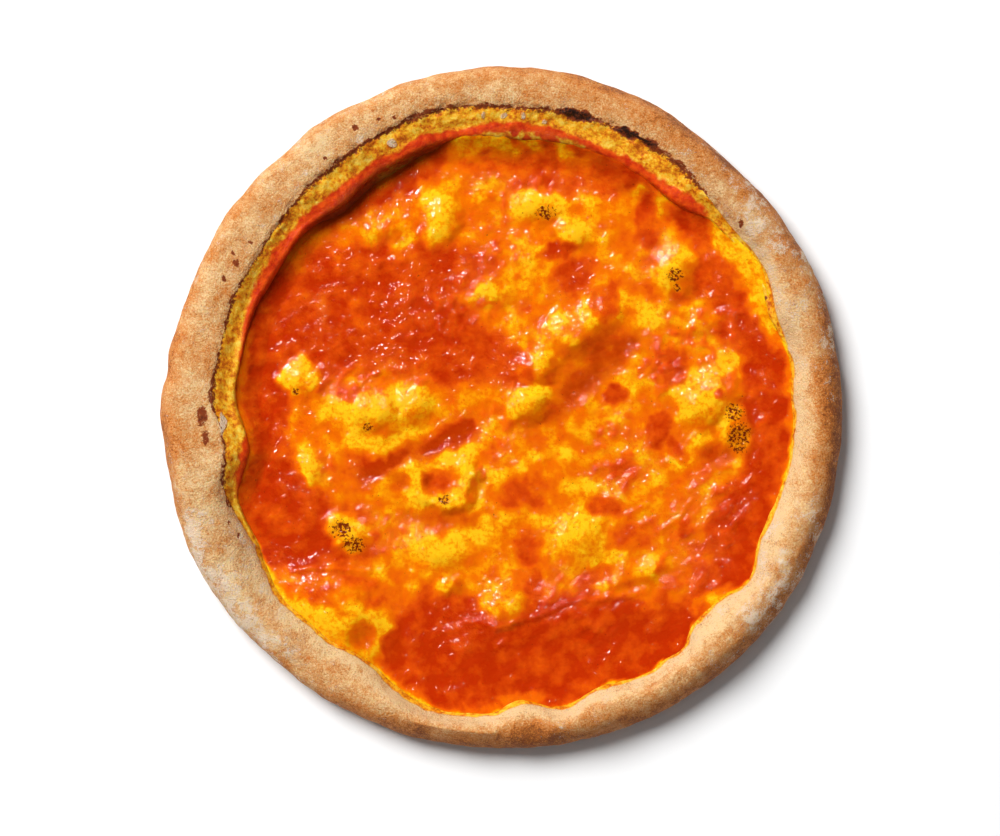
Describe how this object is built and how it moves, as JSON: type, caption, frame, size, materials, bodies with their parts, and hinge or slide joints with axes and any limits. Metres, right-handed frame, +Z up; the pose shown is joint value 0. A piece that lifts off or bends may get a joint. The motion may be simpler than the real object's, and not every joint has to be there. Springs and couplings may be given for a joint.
{
  "type": "tomato pizza base",
  "caption": "Round baked pizza base: a flat disc of dough with a puffed rim, torn open along its inner lip at the back, under a thin blistered layer of tomato sauce.",
  "frame": {"origin": "middle of the base's outline, on the flat underside that it rests on", "axes": "+Z up, out of the sauce; +Y towards the back, where the rim is highest and torn open; +X to the right seen from the front"},
  "size_m": [0.3007, 0.3014, 0.0247],
  "materials": {
    "baked_crust": "dry baked dough, tan with pale flour and brown and black scorch marks",
    "tomato_sauce": "wet cooked tomato sauce, deep red where thick and orange to yellow where thin"
  },
  "bodies": {
    "root": {"crust": "baked_crust", "tomato_sauce": "tomato_sauce"}
  },
  "joints": []
}
